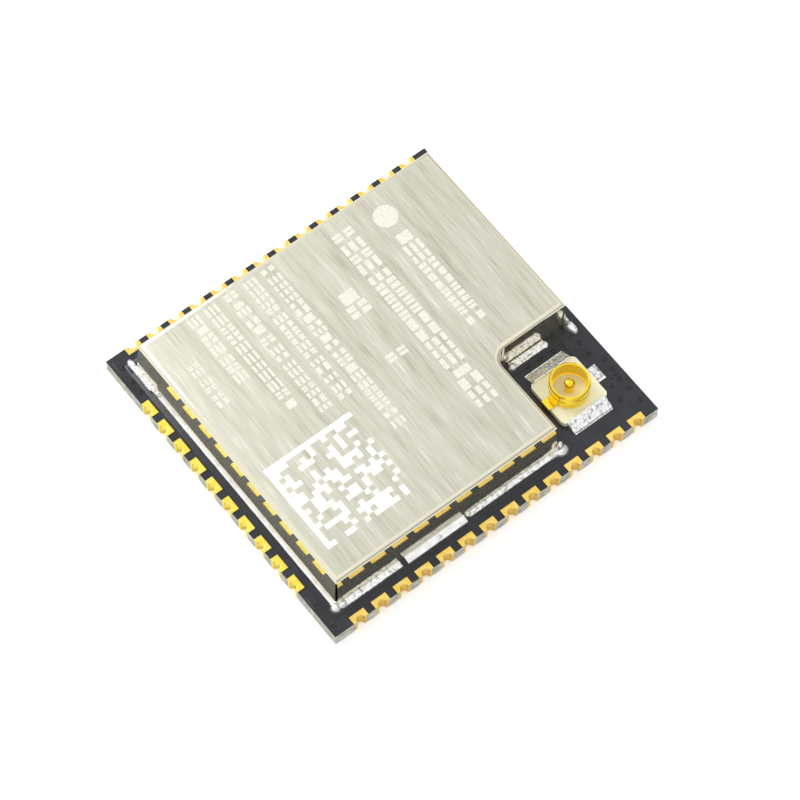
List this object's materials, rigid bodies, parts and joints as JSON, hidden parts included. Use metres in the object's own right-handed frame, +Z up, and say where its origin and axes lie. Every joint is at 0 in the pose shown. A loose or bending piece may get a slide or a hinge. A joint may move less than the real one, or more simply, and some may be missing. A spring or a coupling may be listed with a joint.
{
  "type": "wifi module",
  "caption": "Surface-mount wireless module: castellated black circuit board, folded shield can with a corner notch, and a push-on coaxial antenna receptacle.",
  "frame": {"origin": "middle of the board's underside, on the plane of its solder pads", "axes": "+Z up through the shield can, +Y along the board's length towards the antenna port, +X across the board"},
  "size_m": [0.018, 0.0192, 0.0032],
  "materials": {
    "laminate": "glass-epoxy laminate, routed edge",
    "solder_mask": "black solder mask, satin",
    "gold_plating": "thin gold over nickel on copper",
    "copper": "bare copper, covered by mask",
    "shield_sheet": "nickel silver sheet, brushed across its top",
    "solder": "bright reflowed solder",
    "port_plastic": "moulded cream insulator",
    "chip_plastic": "moulded black package",
    "tin_plating": "matt tin",
    "brown_ceramic": "fired ceramic",
    "pale_ceramic": "fired ceramic",
    "resistor_glaze": "black protective glaze",
    "lid_metal": "welded metal lid"
  },
  "bodies": {
    "root": {"laminate": "laminate", "solder_mask_top": "solder_mask", "solder_mask_bottom": "solder_mask", "edge_pads_left": "gold_plating", "edge_pads_right": "gold_plating", "edge_pads_bottom": "gold_plating", "ground_pad": "gold_plating", "thermal_vias": "copper", "shield_land": "gold_plating", "port_lands": "gold_plating", "rf_trace": "copper", "component_lands": "gold_plating", "shield_can": "shield_sheet", "shield_solder": "solder", "port_base": "port_plastic", "port_ring": "gold_plating", "port_contact": "gold_plating", "port_solder": "solder", "radio_chip": "chip_plastic", "radio_chip_leads": "tin_plating", "flash_chip": "chip_plastic", "flash_chip_leads": "tin_plating", "crystal_base": "brown_ceramic", "crystal_lid": "lid_metal", "capacitor_bodies": "brown_ceramic", "capacitor_ends": "tin_plating", "resistor_bodies": "resistor_glaze", "resistor_ends": "tin_plating", "inductor_bodies": "pale_ceramic", "inductor_ends": "tin_plating", "bulk_capacitor_bodies": "brown_ceramic", "bulk_capacitor_ends": "tin_plating"}
  },
  "joints": []
}
